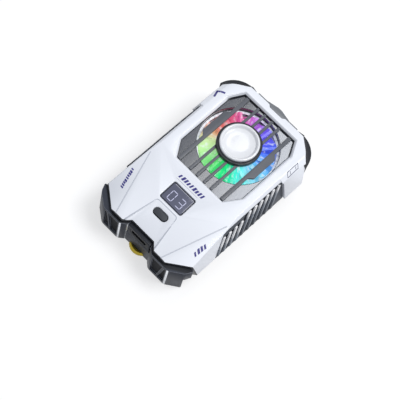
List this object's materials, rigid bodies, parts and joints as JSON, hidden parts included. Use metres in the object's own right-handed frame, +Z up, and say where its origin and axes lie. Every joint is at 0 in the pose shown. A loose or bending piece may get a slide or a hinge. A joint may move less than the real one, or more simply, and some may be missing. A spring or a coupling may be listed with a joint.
{
  "type": "phone cooling fan",
  "caption": "Clip-on phone cooler with a faceted white cover, a lit fan behind a barred octagonal window, a display, a key, a cold plate and a sprung clamp jaw.",
  "frame": {"origin": "on the cold face of the thermal pad, on the middle line of the width, ahead of the fan's axis", "axes": "+X across the width, +Y along the length from the sprung jaw to the fixed hook, +Z up from the cold face to the fan"},
  "size_m": [0.0572, 0.0869, 0.0255],
  "materials": {
    "shell_white": "satin gloss",
    "panel_grey": "gloss",
    "frame_dark": "fine matte",
    "grille_grey": "satin",
    "jaw_grey": "satin",
    "insert_grey": "satin",
    "trim_black": "matte",
    "cap_white": "gloss",
    "light_white": "translucent",
    "rotor_clear": "frosted translucent",
    "display_glass": "polished",
    "display_body": "matte",
    "key_black": "satin",
    "rubber_black": "matte",
    "pad_blue": "soft matte",
    "board_green": "solder mask",
    "lamp_ivory": "clear",
    "cold_metal": "brushed",
    "ceramic": "fine matte",
    "pellet": "matte",
    "steel": "satin",
    "screw_steel": "bright",
    "motor_metal": "satin",
    "copper": "enamelled",
    "brass": "bright",
    "tab_gold": "polished",
    "magnet": "matte"
  },
  "bodies": {
    "cooler": {"top_shell": "shell_white", "base_frame": "frame_dark", "deck_panel": "panel_grey", "fan_grille": "grille_grey", "hub_cap": "cap_white", "fan_shroud": "trim_black", "light_ring": "light_white", "display_window": "display_glass", "display_module": "display_body", "tact_switch": "display_body", "control_board": "board_green", "side_vent_left": "trim_black", "side_vent_right": "trim_black", "rear_bumper_left": "trim_black", "rear_bumper_right": "trim_black", "rear_insert": "insert_grey", "thermal_pad": "pad_blue", "cold_plate": "cold_metal", "peltier_plates": "ceramic", "peltier_pellets": "pellet", "heat_sink": "cold_metal", "led_board": "board_green", "leds": "lamp_ivory", "motor_base": "motor_metal", "stator_core": "steel", "stator_coils": "copper", "bearing_sleeve": "brass", "port_housing": "jaw_grey", "usb_socket": "steel", "usb_tongue": "trim_black", "guide_bushes": "brass", "jaw_springs": "steel", "rear_hook": "frame_dark", "rear_pad": "rubber_black", "base_screws": "screw_steel", "sink_screws": "screw_steel", "hook_screws": "screw_steel", "motor_screws": "screw_steel"},
    "rotor": {"fan_rotor": "rotor_clear", "fan_shaft": "steel", "magnet_ring": "magnet"},
    "jaw": {"front_jaw": "jaw_grey", "jaw_pad": "rubber_black", "pull_tab": "tab_gold", "guide_rods": "steel", "rod_clips": "steel"},
    "key": {"button": "key_black"}
  },
  "joints": [
    {"name": "fan_spin", "type": "hinge", "parent": "cooler", "child": "rotor", "pos_m": [0, 0.0222, 0.0098], "axis": [0, 0, 1], "continuous": true},
    {"name": "jaw_slide", "type": "slide", "parent": "cooler", "child": "jaw", "axis": [0, -1, 0], "range_m": [0, 0.016], "stiffness_N_per_m": 200, "springref_m": -0.01, "deforming": ["jaw_springs"]},
    {"name": "button_press", "type": "slide", "parent": "cooler", "child": "key", "axis": [0, 0.1785, -0.9839], "range_m": [0, 0.0005], "stiffness_N_per_m": 600, "springref_m": -0.0005}
  ]
}
